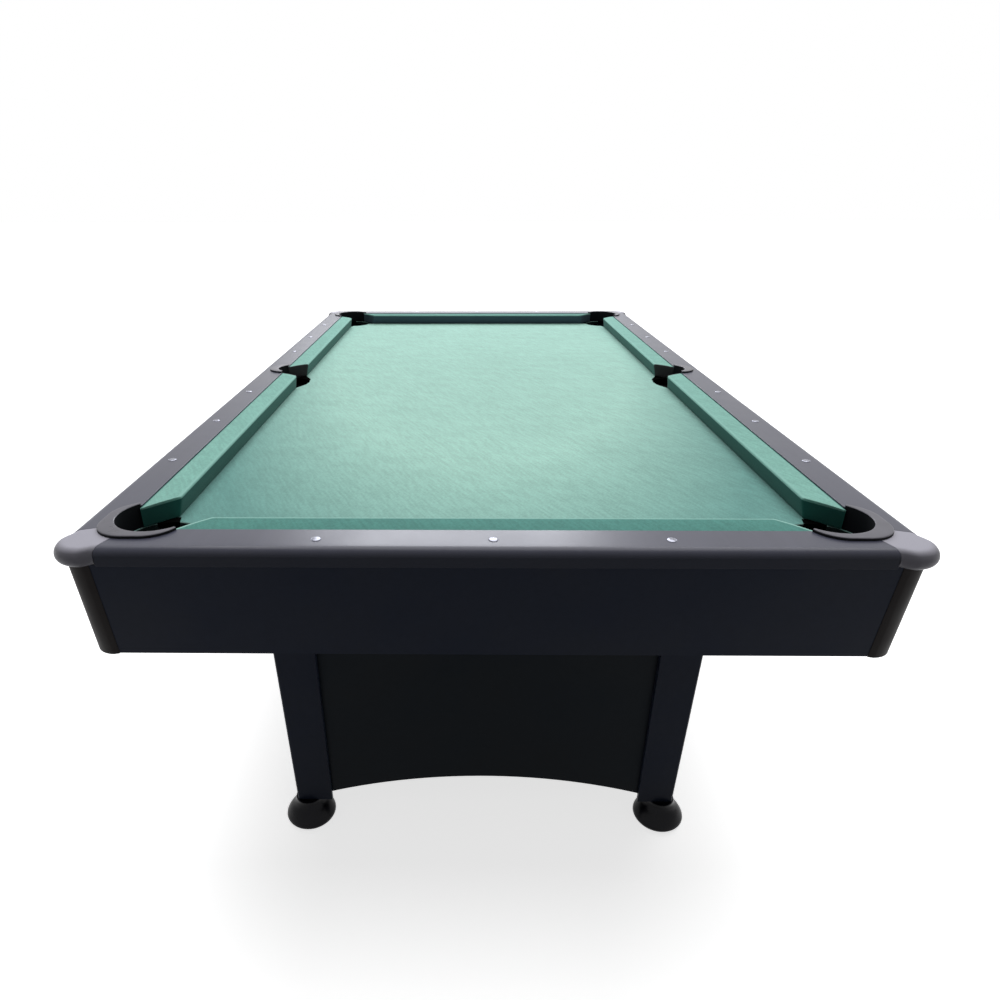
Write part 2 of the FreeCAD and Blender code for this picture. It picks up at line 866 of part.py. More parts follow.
def foot_stud():
    head_top = bell_hollow_height - stud_clearance
    nut_low = bell_top + stud_clearance
    head_low = head_top - stud_head_height
    head = prism(around(foot_x, foot_y, stud_head_radius, hexagon_sides), head_low, head_top)
    jam_nut = prism(around(foot_x, foot_y, jam_nut_radius, hexagon_sides), nut_low, nut_low + jam_nut_height)
    shank = prism(around(foot_x, foot_y, stud_radius, stud_sides), head_low, foot_height + stud_rise)
    return shank.fuse([head, jam_nut]).removeSplitter()


for side, end in corners:
    name = name_of_corner(side, end)
    export("foot_bell_" + name, [mirrored(foot_bell(), side, end)])
    export("foot_stud_" + name, [mirrored(foot_stud(), side, end)])
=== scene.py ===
import bpy
import bmesh
import math
import numpy as np
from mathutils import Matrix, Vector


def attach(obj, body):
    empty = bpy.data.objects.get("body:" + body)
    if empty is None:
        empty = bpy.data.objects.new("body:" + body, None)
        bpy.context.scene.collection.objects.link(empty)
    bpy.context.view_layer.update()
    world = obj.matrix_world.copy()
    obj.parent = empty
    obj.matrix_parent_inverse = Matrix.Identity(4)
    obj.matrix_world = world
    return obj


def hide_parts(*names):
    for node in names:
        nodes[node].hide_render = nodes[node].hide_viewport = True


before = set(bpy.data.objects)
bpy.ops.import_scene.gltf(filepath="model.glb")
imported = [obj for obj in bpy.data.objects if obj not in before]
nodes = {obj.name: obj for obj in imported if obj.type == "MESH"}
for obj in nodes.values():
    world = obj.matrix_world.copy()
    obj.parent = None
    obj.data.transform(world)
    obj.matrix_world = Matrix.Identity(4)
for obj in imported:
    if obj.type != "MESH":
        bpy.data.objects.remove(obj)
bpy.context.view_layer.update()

print("frame loaded with", len(nodes), "nodes")

# X runs across the table, Y along it from the near end, Z up, all in metres.
# A reach is a distance outwards from the line of the cushion noses.
table = {"halfWidth": 0.559, "halfLength": 1.1175, "railTop": 0.800, "railBottom": 0.769, "noseLevel": 0.799,
         "clothTop": 0.761, "bedReach": 0.095, "cushionDepth": 0.0525, "railReach": 0.125,
         "apronTopReach": 0.1195, "apronBottom": 0.5974, "apronLean": 0.0075}
halfWidth, halfLength = table["halfWidth"], table["halfLength"]
pockets = {"cornerReach": 0.005, "cornerRadius": 0.066, "sideReach": 0.0265, "sideRadius": 0.046, "linerWall": 0.004}
# where a cushion's end leaves the nose line and the rail, and how round it leaves the nose line
jaws = {"cornerNose": 0.089, "cornerBack": 0.035, "cornerRound": 0.006,
        "sideNose": 0.080, "sideBack": 0.040, "sideRound": 0.012}
sides = {"left": -1, "right": 1}
ends = {"near": -1, "far": 1}
corners = [(end + "_" + side, sides[side], ends[end]) for end in ends for side in sides]


# Mesh making. A surface is a grid of points with rows and columns. Points nearer than the first value are welded.
meshing = {"weldWithin": 2e-6, "nothing": 1e-6, "bevelSegments": 2, "bevelAngle": 40}


def surface(points, wrapRows=False, wrapColumns=False, capped=False):
    # points, and one quad between each two neighbouring rows and columns; a cap is one face over a whole end row
    rows, columns = points.shape[:2]
    i = np.arange(rows if wrapRows else rows - 1)[:, None]
    j = np.arange(columns if wrapColumns else columns - 1)
    row, nextRow, nextColumn = i * columns, (i + 1) % rows * columns, (j + 1) % columns
    quads = np.broadcast_arrays(row + j, row + nextColumn, nextRow + nextColumn, nextRow + j)
    faces = np.stack(quads, -1).reshape(-1, 4).tolist()
    if capped:
        faces.append(list(range(columns)))
        faces.append(list(range((rows - 1) * columns, rows * columns)))
    return points.reshape(-1, 3), faces


def placed(name, data):
    made = bpy.data.objects.new(name, data)
    bpy.context.scene.collection.objects.link(made)
    return made


def makePiece(name, parts, body="table", closed=True, flipped=False, sharp=35):
    # puts surfaces into one mesh, welds it, turns a closed one's faces outwards and shades it smooth up to an angle
    faces = []
    start = 0
    for points, partFaces in parts:
        faces += [[index + start for index in face] for face in partFaces]
        start += len(points)
    mesh = bpy.data.meshes.new(name)
    mesh.from_pydata(np.concatenate([points for points, partFaces in parts]), [], faces)
    work = bmesh.new()
    work.from_mesh(mesh)
    bmesh.ops.remove_doubles(work, verts=work.verts, dist=meshing["weldWithin"])
    bmesh.ops.dissolve_degenerate(work, edges=work.edges, dist=meshing["nothing"])
    if closed:
        bmesh.ops.recalc_face_normals(work, faces=work.faces)
    work.to_mesh(mesh)
    work.free()
    if flipped:
        mesh.flip_normals()
    mesh.shade_smooth()
    mesh.set_sharp_from_angle(angle=math.radians(sharp))
    piece = placed(name, mesh)
    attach(piece, body)
    return piece


def dress(piece, *materials):
    piece.data.materials.clear()
    for material in materials:
        piece.data.materials.append(material)


def makeSwept(name, grid, slot, *materials, softness=None):
    # one closed piece from rows of closed sections, its edges softened by a bevel
    piece = makePiece(name, [surface(grid, wrapColumns=True, capped=True)])
    dress(piece, *materials)
    if softness:
        bevel = piece.modifiers.new("edges", "BEVEL")
        bevel.width = softness
        bevel.segments = meshing["bevelSegments"]
        bevel.limit_method = "ANGLE"
        bevel.angle_limit = math.radians(meshing["bevelAngle"])
        bevel.harden_normals = True
    return piece


def arcOf(centre, radius, start, stop, steps):
    # points (u, v) at equal turns along an arc, angles in degrees
    turn = np.radians(np.linspace(start, stop, steps + 1))
    return np.stack([centre[0] + radius * np.cos(turn), centre[1] + radius * np.sin(turn)], 1)


def alongPath(path, count):
    # points at equal distances along a polyline
    steps = np.linalg.norm(np.diff(path, axis=0), axis=1)
    length = np.concatenate([[0], np.cumsum(steps)])
    wanted = np.linspace(0, length[-1], count)
    return np.stack([np.interp(wanted, length, path[:, k]) for k in range(path.shape[1])], -1)


def levelled(columns):
    # a grid whose columns are plan lines, each at its level
    return np.stack([np.concatenate([plan, np.full((len(plan), 1), level)], 1) for plan, level in columns], 1)


def atCorner(grid, side, end):
    # points given by their two reaches and a level, taken to one of the four corners
    return (grid + (halfWidth, halfLength, 0)) * (side, end, 1)


def turnedGrid(profile, x, y, count):
    # a profile of radius and height carried round a standing axis
    profile = np.array(profile, float)
    turn = np.linspace(0, 2 * np.pi, count, endpoint=False)[:, None]
    return np.stack([x + profile[:, 0] * np.cos(turn), y + profile[:, 0] * np.sin(turn),
                     profile[:, 1] + 0 * turn], -1)


def roundedProfile(outline, steps):
    # each corner (u, v, rounding) becomes a short curve that bends from one side to the next
    outline = np.array(outline, float)
    points = [outline[:1, :2]]
    for before, corner, after in zip(outline[:-2], outline[1:-1], outline[2:]):
        if corner[2] == 0:
            points.append(corner[None, :2])
            continue
        back = before[:2] - corner[:2]
        ahead = after[:2] - corner[:2]
        back = corner[:2] + back / np.linalg.norm(back) * corner[2]
        ahead = corner[:2] + ahead / np.linalg.norm(ahead) * corner[2]
        t = np.linspace(0, 1, steps + 1)[:, None]
        points.append((1 - t) ** 2 * back + 2 * t * (1 - t) * corner[:2] + t ** 2 * ahead)
    points.append(outline[-1:, :2])
    return np.concatenate(points)


# Materials: node trees on Object coordinates.
shaderInlets = {"metal": "Metallic", "gloss": "Specular IOR Level", "sheen": "Sheen Weight",
                "sheenRough": "Sheen Roughness", "sheenTint": "Sheen Tint"}


def emptyTree(owner):
    owner.use_nodes = True
    owner.node_tree.nodes.clear()
    return owner.node_tree


def feedNode(node, feeds):
    # a feed is a socket to link in or a value to set
    for key, value in feeds.items():
        inlet = node.inputs[key]
        if isinstance(value, bpy.types.NodeSocket):
            node.id_data.links.new(value, inlet)
        else:
            inlet.default_value = (*value, 1) if inlet.type == "RGBA" and len(value) == 3 else value


def addNode(tree, kind, feeds, **settings):
    made = tree.nodes.new(kind)
    for key, value in settings.items():
        setattr(made, key, value)
    feedNode(made, feeds)
    return made


def shade(colour, share):
    return tuple(share * part for part in colour)


class Recipe:
    # one material's nodes; colours, heights and places are passed on as sockets
    def __init__(self, name):
        self.material = bpy.data.materials.new(name)
        self.tree = emptyTree(self.material)
        self.shader = self.node("ShaderNodeBsdfPrincipled", {})
        self.node("ShaderNodeOutputMaterial", {"Surface": self.shader.outputs["BSDF"]})
        self.place = self.node("ShaderNodeTexCoord", {}).outputs["Object"]

    def node(self, kind, feeds, **settings):
        return addNode(self.tree, kind, feeds, **settings)

    def mapped(self, place, stretch=(1, 1, 1), turn=0, shift=(0, 0, 0)):
        feeds = {"Vector": place, "Scale": stretch, "Rotation": (0, 0, turn), "Location": shift}
        return self.node("ShaderNodeMapping", feeds).outputs["Vector"]

    def noise(self, scale, detail, stretch=(1, 1, 1), turn=0):
        # turned first and stretched after, so that the long cells lie along the turned direction
        place = self.mapped(self.mapped(self.place, turn=turn), stretch)
        return self.node("ShaderNodeTexNoise", {"Vector": place, "Scale": scale, "Detail": detail}).outputs["Fac"]

    def wave(self, place, scale, distortion, detail=2):
        feeds = {"Vector": place, "Scale": scale, "Distortion": distortion, "Detail": detail}
        return self.node("ShaderNodeTexWave", feeds).outputs["Fac"]

    def along(self, axis):
        return self.node("ShaderNodeSeparateXYZ", {"Vector": self.place}).outputs[axis]

    def peak(self, source, middle, spread, height):
        # nothing but a narrow rise about one value of the source
        made = self.node("ShaderNodeValToRGB", {"Fac": source})
        stops = made.color_ramp.elements
        for stop, place in zip(stops, (middle - spread, middle + spread)):
            stop.position = place
            stop.color = (0, 0, 0, 1)
        stops.new(middle).color = (height, height, height, 1)
        return made.outputs["Color"]

    def band(self, source, low, high, fromLow=0.3, fromHigh=0.7):
        # the source's middle range carried to the range low to high
        feeds = {"Value": source, "From Min": fromLow, "From Max": fromHigh, "To Min": low, "To Max": high}
        return self.node("ShaderNodeMapRange", feeds).outputs["Result"]

    def mixed(self, share, first, second, blend="MIX"):
        # Mix has its colours in its seventh and eighth sockets, and gives one out of its third
        feeds = {0: share, 6: first, 7: second}
        return self.node("ShaderNodeMix", feeds, data_type="RGBA", blend_type=blend).outputs[2]

    def mottled(self, source, colour, dark, pale, *limits):
        # the colour, between a darker and a paler share of itself
        return self.mixed(self.band(source, 0, 1, *limits), shade(colour, dark), shade(colour, pale))

    def finish(self, colour, rough, heights, depth, **values):
        # heights are added one after another, each with its strength
        normal = {}
        for height, strength in heights:
            bump = self.node("ShaderNodeBump", {"Strength": strength, "Distance": depth, "Height": height, **normal})
            normal = {"Normal": bump.outputs["Normal"]}
        values = {shaderInlets[key]: value for key, value in values.items()}
        feedNode(self.shader, {"Base Color": colour, "Roughness": rough, **normal, **values})
        return self.material


colours = {
    # clothShade is the colour that the bed's painted shade darkens its near corners towards
    "clothBed": (0.42, 0.72, 0.61), "clothShade": (0.14, 0.35, 0.31),
    # a painted highlight on the bed holes' rims and painted shade down their folds
    "clothRimHighlight": (0.50, 0.80, 0.72), "clothFoldShade": (0.004, 0.012, 0.012),
    # cushion cloth: each Face colour is painted shade on the face and the tuck at the rail, each Nose colour a painted
    # highlight on the nose and jaw edges
    "clothEnd": (0.092, 0.285, 0.245), "clothEndFace": (0.080, 0.115, 0.150), "clothEndNose": (0.42, 0.74, 0.65),
    "clothSide": (0.255, 0.53, 0.45), "clothSideFace": (0.022, 0.125, 0.105), "clothSideNose": (0.31, 0.60, 0.52),
    # the second laminate colour is painted shade on the rail's formed edge
    "laminate": (0.064, 0.066, 0.098), "laminateEdgeShade": (0.026, 0.030, 0.046),
    # the cabinet laminate, and a darker copy of it as painted shade on the recessed panels
    "cabinet": (0.0102, 0.0140, 0.0262), "panel": (0.0035, 0.006, 0.009),
    # the second silver is painted shade on the caps' sides
    "silver": (0.45, 0.44, 0.51), "silverShade": (0.150, 0.147, 0.172), "strip": (0.013, 0.011, 0.011),
    "liner": (0.125, 0.122, 0.146), "throat": (0.003, 0.0035, 0.005), "foot": (0.006, 0.006, 0.009),
    # rubber is also painted shade on the side jaws' facings
    "sight": (0.25, 0.255, 0.30), "rubber": (0.006, 0.006, 0.007), "board": (0.004, 0.004, 0.004),
    "beam": (0.42, 0.31, 0.19), "steel": (0.52, 0.52, 0.54),
}
# Each of the cloth's mottlings: a noise's scale, detail, stretch and turn, then its darkest and palest share of the
# colour and the noise's range between them. A crease is a thin line of painted shade where a slow noise passes its
# middle.
nap = {"cloud": (2.2, 4, (1, 1, 1), 0, 0.88, 1.10, 0.30, 0.70),
       "bands": (24, 5, (0.35, 1, 1), 0.08, 0.86, 1.14, 0.35, 0.65),
       "streaks": (190, 3, (1, 0.13, 1), -0.45, 0.72, 1.27, 0.37, 0.63),
       "flecks": (260, 2, (1, 0.5, 1), 0.5, 0.76, 1.23, 0.37, 0.63),
       "crease": (4.2, 3, (0.4, 1, 1), 0.5), "creaseSpread": 0.010, "creaseShare": 0.16, "creaseShade": 0.76,
       "fibre": (900, 2, (1, 0.25, 1)), "wrinkle": (5, 2, (1, 0.4, 1), -0.5), "twill": (260, 2.5), "twillTurn": 0.8,
       "bumps": {"fibre": 0.25, "twill": 0.10, "bands": 0.2, "flecks": 0.3, "wrinkle": 0.5}, "depth": 0.0006,
       "tint": (0.85, 1.0, 0.97), "dull": (0.82, 0.98)}
# the bed's painted shade, a round that darkens the near corners, and its place; and depths below the cloth's top
# between which its rim takes a painted highlight and its fold painted shade
bedPaintedLight = {"across": 0.79, "along": 2.1, "beyond": 0.6, "range": (0.03, 0.36), "rimShare": 0.8,
           "rim": (0.0007, 0.0001), "fold": (0.0022, 0.0012)}
# distances from the nose line, from a jaw's edge and from the rail, and levels, between which a cushion takes its
# painted highlight along the nose and jaw edges and its painted shade where it tucks in at the rail and on its face
cushionPaintedLight = {"noseShare": 0.9, "nose": (0.0030, 0.0080), "jaw": (0.0030, 0.0085), "endJawShare": 0.9,
               "sideJawShare": 0.25, "tuckShare": 0.85, "tuck": (0.0030, 0.0016), "face": (0.7936, 0.7952)}
# levels between which painted shade darkens the rail's formed edge and the cap's side
edgeLevels = {"rail": (0.786, 0.797), "railGloss": 0.08, "cap": (0.7940, 0.8008)}
# the other surfaces' noises, as scale, detail and stretch
grains = {"laminate": (60, 6, (1, 0.06, 1)), "pebble": (1400, 2), "handling": (7, 4), "speck": (700, 3),
          "drift": (9, 4), "mould": (520, 3), "patch": (14, 3), "pores": (240, 4, (1, 0.08, 1)), "cloudy": (25, 3),
          "scratch": (300, 3, (1, 0.1, 1))}


def clothFinish(name, colour, sheen):
    # napped wool: clouds, soft bands, slanting streaks, flecks and faint creases of painted shade in the colour;
    # fibres in the roughness; fibres, a twill, bands, flecks and slow wrinkles in the bump
    made = Recipe(name)
    mottlings = ("cloud", "bands", "streaks", "flecks")
    noises = {key: made.noise(*nap[key][:4]) for key in (*mottlings, "crease", "fibre", "wrinkle")}
    cloud, bands, streaks, flecks = (made.mottled(noises[key], colour, *nap[key][4:]) for key in mottlings)
    whole = made.mixed(0.5, made.mixed(0.5, cloud, bands), made.mixed(0.5, streaks, flecks))
    # painted shade: a thin darker line along each crease
    crease = made.peak(noises["crease"], 0.5, nap["creaseSpread"], nap["creaseShare"])
    base = made.mixed(crease, whole, shade(colour, nap["creaseShade"]))
    noises["twill"] = made.wave(made.mapped(made.place, turn=nap["twillTurn"]), *nap["twill"])
    heights = [(noises[key], strength) for key, strength in nap["bumps"].items()]
    made.finish(base, made.band(noises["fibre"], *nap["dull"]), heights, nap["depth"],
                gloss=0.25, sheen=sheen, sheenRough=0.45, sheenTint=nap["tint"])
    return made, base


def bedFinish(name, colour, shaded):
    # the cloth, with painted shade: a round gradient about a point beyond the middle darkens the near corners;
    # a painted highlight on the rims of its holes and painted shade below them, both by height
    made, base = clothFinish(name, colour, 0.35)
    stretch = (1 / bedPaintedLight["across"], 1 / bedPaintedLight["along"], 0)
    about = made.mapped(made.place, stretch, shift=(0, -bedPaintedLight["beyond"] / bedPaintedLight["along"], 0))
    fall = made.node("ShaderNodeTexGradient", {"Vector": about}, gradient_type="SPHERICAL").outputs["Fac"]
    tint = tuple(dark / pale for dark, pale in zip(shaded, colour))
    # painted shade: the near corners darken towards the shaded colour
    paintedShade = made.mixed(made.band(fall, 0, 1, *bedPaintedLight["range"]), tint, (1, 1, 1))
    whole = made.mixed(1, base, paintedShade, "MULTIPLY")
    level = made.along("Z")
    rim, fold = ([table["clothTop"] - depth for depth in bedPaintedLight[key]] for key in ("rim", "fold"))
    # a painted highlight on the holes' rims and painted shade down their folds, by height
    whole = made.mixed(made.band(level, bedPaintedLight["rimShare"], 0, *rim), whole, colours["clothRimHighlight"])
    whole = made.mixed(made.band(level, 0, 1, *fold), colours["clothFoldShade"], whole)
    feedNode(made.shader, {"Base Color": whole})
    return made.material


def cushionFinish(name, key, axis, line, run, jawShare):
    # the cloth, with a painted highlight by its distance from the nose line and from the jaws' edge, painted
    # shade where it is tucked in at the rail, and painted shade by height on the face. The jaw's line is level in
    # slope * across - along.
    made, base = clothFinish(name, colours[key], 0.12)
    # the face's painted shade and the nose's painted highlight
    face, nose = colours[key + "Face"], colours[key + "Nose"]
    slope = (jaws["cornerNose"] - jaws["cornerBack"]) / table["cushionDepth"]
    across = (1, 0, 0) if axis == "X" else (0, 1, 0)
    jawNormal = [slope * share if share else -1 for share in across[:2]] + [0]
    jawStart = slope * line - run + jaws["cornerNose"]
    away = made.node("ShaderNodeMath", {0: made.along(axis)}, operation="ABSOLUTE").outputs["Value"]
    positive = made.node("ShaderNodeVectorMath", {0: made.place}, operation="ABSOLUTE").outputs["Vector"]
    inside = made.node("ShaderNodeVectorMath", {0: positive, 1: jawNormal}, operation="DOT_PRODUCT").outputs["Value"]

    def beyond(source, start, key, low, high):
        return made.band(source, low, high, *(start + distance for distance in cushionPaintedLight[key]))

    back = line + table["cushionDepth"]
    # painted shade where the cloth tucks in at the rail
    tuckedShade = made.band(away, 0, cushionPaintedLight["tuckShare"], *(back - depth for depth in cushionPaintedLight["tuck"]))
    whole = made.mixed(tuckedShade, base, face)
    # painted highlights along the nose line and along the jaws' edge
    whole = made.mixed(beyond(away, line, "nose", cushionPaintedLight["noseShare"], 0), whole, nose)
    whole = made.mixed(beyond(inside, jawStart, "jaw", jawShare, 0), whole, nose)
    # painted shade on the face, below a level
    whole = made.mixed(beyond(made.along("Z"), 0, "face", 0, 1), face, whole)
    feedNode(made.shader, {"Base Color": whole})
    return made.material


def laminateFinish(name, colour, rough, gloss, edge=None):
    # pressed laminate: nearly even colour, a faint grain of stretched noise, and roughness that drifts with handling;
    # a rail's formed edge takes painted shade and is duller than its top, by height
    made = Recipe(name)
    grain = made.noise(*grains["laminate"])
    pebble = made.noise(*grains["pebble"])
    base = made.mottled(grain, colour, 0.95, 1.05)
    if edge:
        # painted shade on the rail's formed edge, by height
        base = made.mixed(made.band(made.along("Z"), 0, 1, *edgeLevels["rail"]), edge, base)
    dull = made.band(made.noise(*grains["handling"]), *rough)
    made.finish(base, dull, [(pebble, 0.05), (grain, 0.025)], 0.0003, gloss=gloss)
    if edge:
        shine = made.band(made.along("Z"), edgeLevels["railGloss"], gloss, *edgeLevels["rail"])
        feedNode(made.shader, {shaderInlets["gloss"]: shine})
    return made.material


def castFinish(name, colour, metal, rough, gloss=0.5, low=None):
    # painted casting or turned metal: fine speckle in colour and bump, slow drift in roughness; painted shade on
    # a cap's side, by height
    made = Recipe(name)
    speck = made.noise(*grains["speck"])
    base = made.mottled(speck, colour, 0.93, 1.06)
    if low:
        # painted shade on the cap's side, by height
        base = made.mixed(made.band(made.along("Z"), 0, 1, *edgeLevels["cap"]), low, base)
    dull = made.band(made.noise(*grains["drift"]), *rough)
    return made.finish(base, dull, [(speck, 0.06)], 0.0003, metal=metal, gloss=gloss)


def mouldedFinish(name, colour, rough, gloss):
    # moulded plastic or rubber: fine grain bump, patchy colour and roughness
    made = Recipe(name)
    grain, patch = made.noise(*grains["mould"]), made.noise(*grains["patch"])
    return made.finish(made.mottled(patch, colour, 0.85, 1.2), made.band(patch, *rough), [(grain, 0.08)], 0.0004,
                       gloss=gloss)


def boardFinish(name, colour):
    # sawn timber: rings by a distorted wave stretched along the board, with pores
    made = Recipe(name)
    rings = made.wave(made.mapped(made.place, (1, 0.12, 1)), 14, 6, 3)
    pores = made.noise(*grains["pores"])
    base = made.mixed(rings, shade(colour, 0.78), shade(colour, 1.12))
    return made.finish(base, made.band(pores, 0.55, 0.8), [(pores, 0.2)], 0.0005, gloss=0.3)


def steelFinish(name, colour):
    # worked metal: cloudy colour, fine stretched scratches in roughness and bump
    made = Recipe(name)
    scratch = made.noise(*grains["scratch"])
    base = made.mottled(made.noise(*grains["cloudy"]), colour, 0.88, 1.06)
    return made.finish(base, made.band(scratch, 0.25, 0.45), [(scratch, 0.1)], 0.0002, metal=1.0)


bedClothFinish = bedFinish("bedClothFinish", colours["clothBed"], colours["clothShade"])
endCushionFinish = cushionFinish("endCushionFinish", "clothEnd", "Y", halfLength, halfWidth, cushionPaintedLight["endJawShare"])
sideCushionFinish = cushionFinish("sideCushionFinish", "clothSide", "X", halfWidth, halfLength,
                                  cushionPaintedLight["sideJawShare"])
railFinish = laminateFinish("railFinish", colours["laminate"], (0.28, 0.36), 0.33, colours["laminateEdgeShade"])
cabinetFinish = laminateFinish("cabinetFinish", colours["cabinet"], (0.35, 0.5), 0.07)
# painted shade: the recessed panels take a darker copy of the cabinet laminate
shadedPanelFinish = laminateFinish("shadedPanelFinish", colours["panel"], (0.35, 0.5), 0.06)
silverFinish = castFinish("silverFinish", colours["silver"], 0.0, (0.36, 0.48), 0.22, colours["silverShade"])
stripFinish = mouldedFinish("stripFinish", colours["strip"], (0.45, 0.6), 0.08)
linerFinish = mouldedFinish("linerFinish", colours["liner"], (0.26, 0.38), 0.25)
throatFinish = mouldedFinish("throatFinish", colours["throat"], (0.5, 0.7), 0.1)
footFinish = mouldedFinish("footFinish", colours["foot"], (0.20, 0.32), 0.12)
sightFinish = castFinish("sightFinish", colours["sight"], 1.0, (0.2, 0.32))
rubberAndJawShadeFinish = mouldedFinish("rubberAndJawShadeFinish", colours["rubber"], (0.5, 0.7), 0.3)
bedBoardFinish = mouldedFinish("bedBoardFinish", colours["board"], (0.8, 0.95), 0.0)
beamFinish = boardFinish("beamFinish", colours["beam"])
bareSteelFinish = steelFinish("steelBareFinish", colours["steel"])

# the CAD pieces that stay
dressed = [(cabinetFinish, "apron_", "post_"), (shadedPanelFinish, "end_panel", "side_panel"),
           (beamFinish, "side_beams", "cross_beams", "corner_blocks"), (bedBoardFinish, "bed_panel"),
           (rubberAndJawShadeFinish, "cushion_cores"), (throatFinish, "pocket_buckets"),
           (bareSteelFinish, "rail_bolts", "foot_nuts", "foot_stud", "leg_brackets")]
for material, *starts in dressed:
    for name, node in nodes.items():
        if name.startswith(tuple(starts)):
            dress(node, material)
print("materials made")


# Bed cloth: one sheet. Round each pocket it runs from a square frame in to the hole and folds down over the edge.
# A mouth is the outline (across, along) where the cloth is cut back on the board.
clothPlan = {"foldDepth": 0.011, "foldRound": 0.0022, "holeInset": 0.0012, "cutDepth": 0.0009, "cutRound": 0.0008,
             "cutFrom": 0.0003, "pucker": 0.00025, "puckerTurn": 0.63, "blockStart": 0.469, "cornerBlock": 0.095,
             "sideBlock": 0.095, "cornerMouth": [(-0.060, 0.040), (-0.083, 0.010), (-0.081, 0.003), (-0.058, -0.002)],
             "sideMouth": [(0.0265, 0.066), (0.014, 0.080), (0.007, 0.083), (0.003, 0.072), (-0.004, 0.058),
                           (-0.013, 0.040), (-0.018, 0.020)]}


def squarePath(path, counts):
    # a polyline with the given count of equal steps on each of its runs
    runs = [np.linspace(path[k], path[k + 1], count + 1)[:-1] for k, count in enumerate(counts)]
    return np.concatenate(runs + [np.array(path[-1:], float)])


def foldedIn(outer, hole, inward, wide, radius):
    # rows from the frame's line to the hole's line, then round the edge and down; inward points to the pocket.
    # Where the cloth is cut back on the board, it only turns down to the board's face.
    cut = wide > radius + clothPlan["cutFrom"]
    top = table["clothTop"]
    t = np.concatenate([np.linspace(0, 0.8, 7), np.linspace(0.85, 1, 8)])[:, None, None]
    flat = outer * (1 - t) + hole * t
    turn = np.radians(np.linspace(12, 90, 7))[:, None, None]
    r = np.where(cut, clothPlan["cutRound"], clothPlan["foldRound"])[:, None]
    deep = np.where(cut, clothPlan["cutDepth"], clothPlan["foldDepth"])
    bend = hole + inward * r * np.sin(turn)
    bendLevel = top - r[:, 0] * (1 - np.cos(turn[..., 0]))
    drop = np.linspace(0.15, 1, 7)[:, None]
    pucker = np.sin(np.arange(hole.shape[0]) * clothPlan["puckerTurn"]) * drop
    wall = hole + inward * (r + (np.where(cut, 0, clothPlan["pucker"]) * pucker)[..., None])
    wallLevel = top - r[:, 0] - (deep - r[:, 0]) * drop
    level = np.concatenate([np.full(flat.shape[:2], top), bendLevel, wallLevel])
    return np.concatenate([np.concatenate([flat, bend, wall]), level[..., None]], -1)


def awayFrom(centre, points):
    away = points - centre
    return away / np.linalg.norm(away, axis=1)[:, None]


def mouthRadius(away, centre, mouth, radius):
    # the hole's radius in each direction: the pocket's circle, or the mouth's outline where that reaches further
    points = np.array(mouth) - centre
    turn, wanted = (np.arctan2(line[:, 1], line[:, 0]) % (2 * np.pi) for line in (points, away))
    return np.maximum(np.interp(wanted, turn, np.linalg.norm(points, axis=1), left=0, right=0), radius)


def cornerClothBlock(start, edgeX, edgeY, lowY):
    reach = pockets["cornerReach"]
    centre = (halfWidth + reach, halfLength + reach)
    path = [(centre[0], edgeY), (start, edgeY), (start, lowY), (edgeX, lowY), (edgeX, centre[1])]
    outer = squarePath(path, [16, 96, 96, 16])
    away = awayFrom(centre, outer)
    radius = pockets["cornerRadius"] + clothPlan["holeInset"]
    mouth = clothPlan["cornerMouth"]
    wide = np.maximum(*(mouthRadius(line, reach, mouth, radius) for line in (away, away[:, ::-1])))
    return foldedIn(outer, centre + away * wide[:, None], -away, wide, radius)


def sideClothBlock(start, edgeX, midY):
    # beside the pocket's middle the hole runs straight out under the rail, and narrows to the circle there
    x = halfWidth + pockets["sideReach"]
    path = [(edgeX, midY), (x, midY), (start, midY), (start, -midY), (x, -midY), (edgeX, -midY)]
    outer = squarePath(path, [32, 64, 96, 64, 32])
    away = awayFrom((x, 0), outer)
    radius = pockets["sideRadius"] + clothPlan["holeInset"]
    mouth = clothPlan["sideMouth"]
    folded = np.stack([away[:, 0], np.abs(away[:, 1])], 1)
    wide = mouthRadius(folded, (pockets["sideReach"], 0), mouth, radius)
    hole = (x, 0) + away * wide[:, None]
    straight = outer[:, 0] >= x
    wide[straight] = np.interp(outer[straight, 0], [x, halfWidth + table["cushionDepth"]], [mouth[0][1], radius])
    away[straight] = np.stack([0 * outer[straight, 0], np.sign(outer[straight, 1])], 1)
    hole[straight] = np.stack([outer[straight, 0], away[straight, 1] * wide[straight]], 1)
    return foldedIn(outer, hole, -away, wide, radius)


def levelSheet(x, y):
    y, x = np.meshgrid(y, x, indexing="ij")
    return np.stack([x, y, table["clothTop"] + 0 * x], -1)


def bedClothParts():
    start, midY = clothPlan["blockStart"], clothPlan["sideBlock"]
    edgeX, edgeY = halfWidth + table["bedReach"], halfLength + table["bedReach"]
    lowY = halfLength + pockets["cornerReach"] - clothPlan["cornerBlock"]
    cornerBlock = cornerClothBlock(start, edgeX, edgeY, lowY)
    sideBlock = sideClothBlock(start, edgeX, midY)
    parts = [surface(cornerBlock * (side, end, 1)) for name, side, end in corners]
    parts += [surface(sideBlock * (side, 1, 1)) for side in sides.values()]
    runs = [(-edgeY, -lowY, 33), (-lowY, -midY, 40), (-midY, midY, 33), (midY, lowY, 40), (lowY, edgeY, 33)]
    rows = np.concatenate([[-edgeY]] + [np.linspace(*run)[1:] for run in runs])
    parts.append(surface(levelSheet(np.linspace(-start, start, 41), rows)))
    beside = levelSheet(np.linspace(start, edgeX, 12), np.linspace(midY, lowY, 40))
    return parts + [surface(beside * (side, end, 1)) for side in sides.values() for end in ends.values()]


def meshArea(piece):
    areas = np.zeros(len(piece.data.polygons))
    piece.data.polygons.foreach_get("area", areas)
    return float(areas.sum())


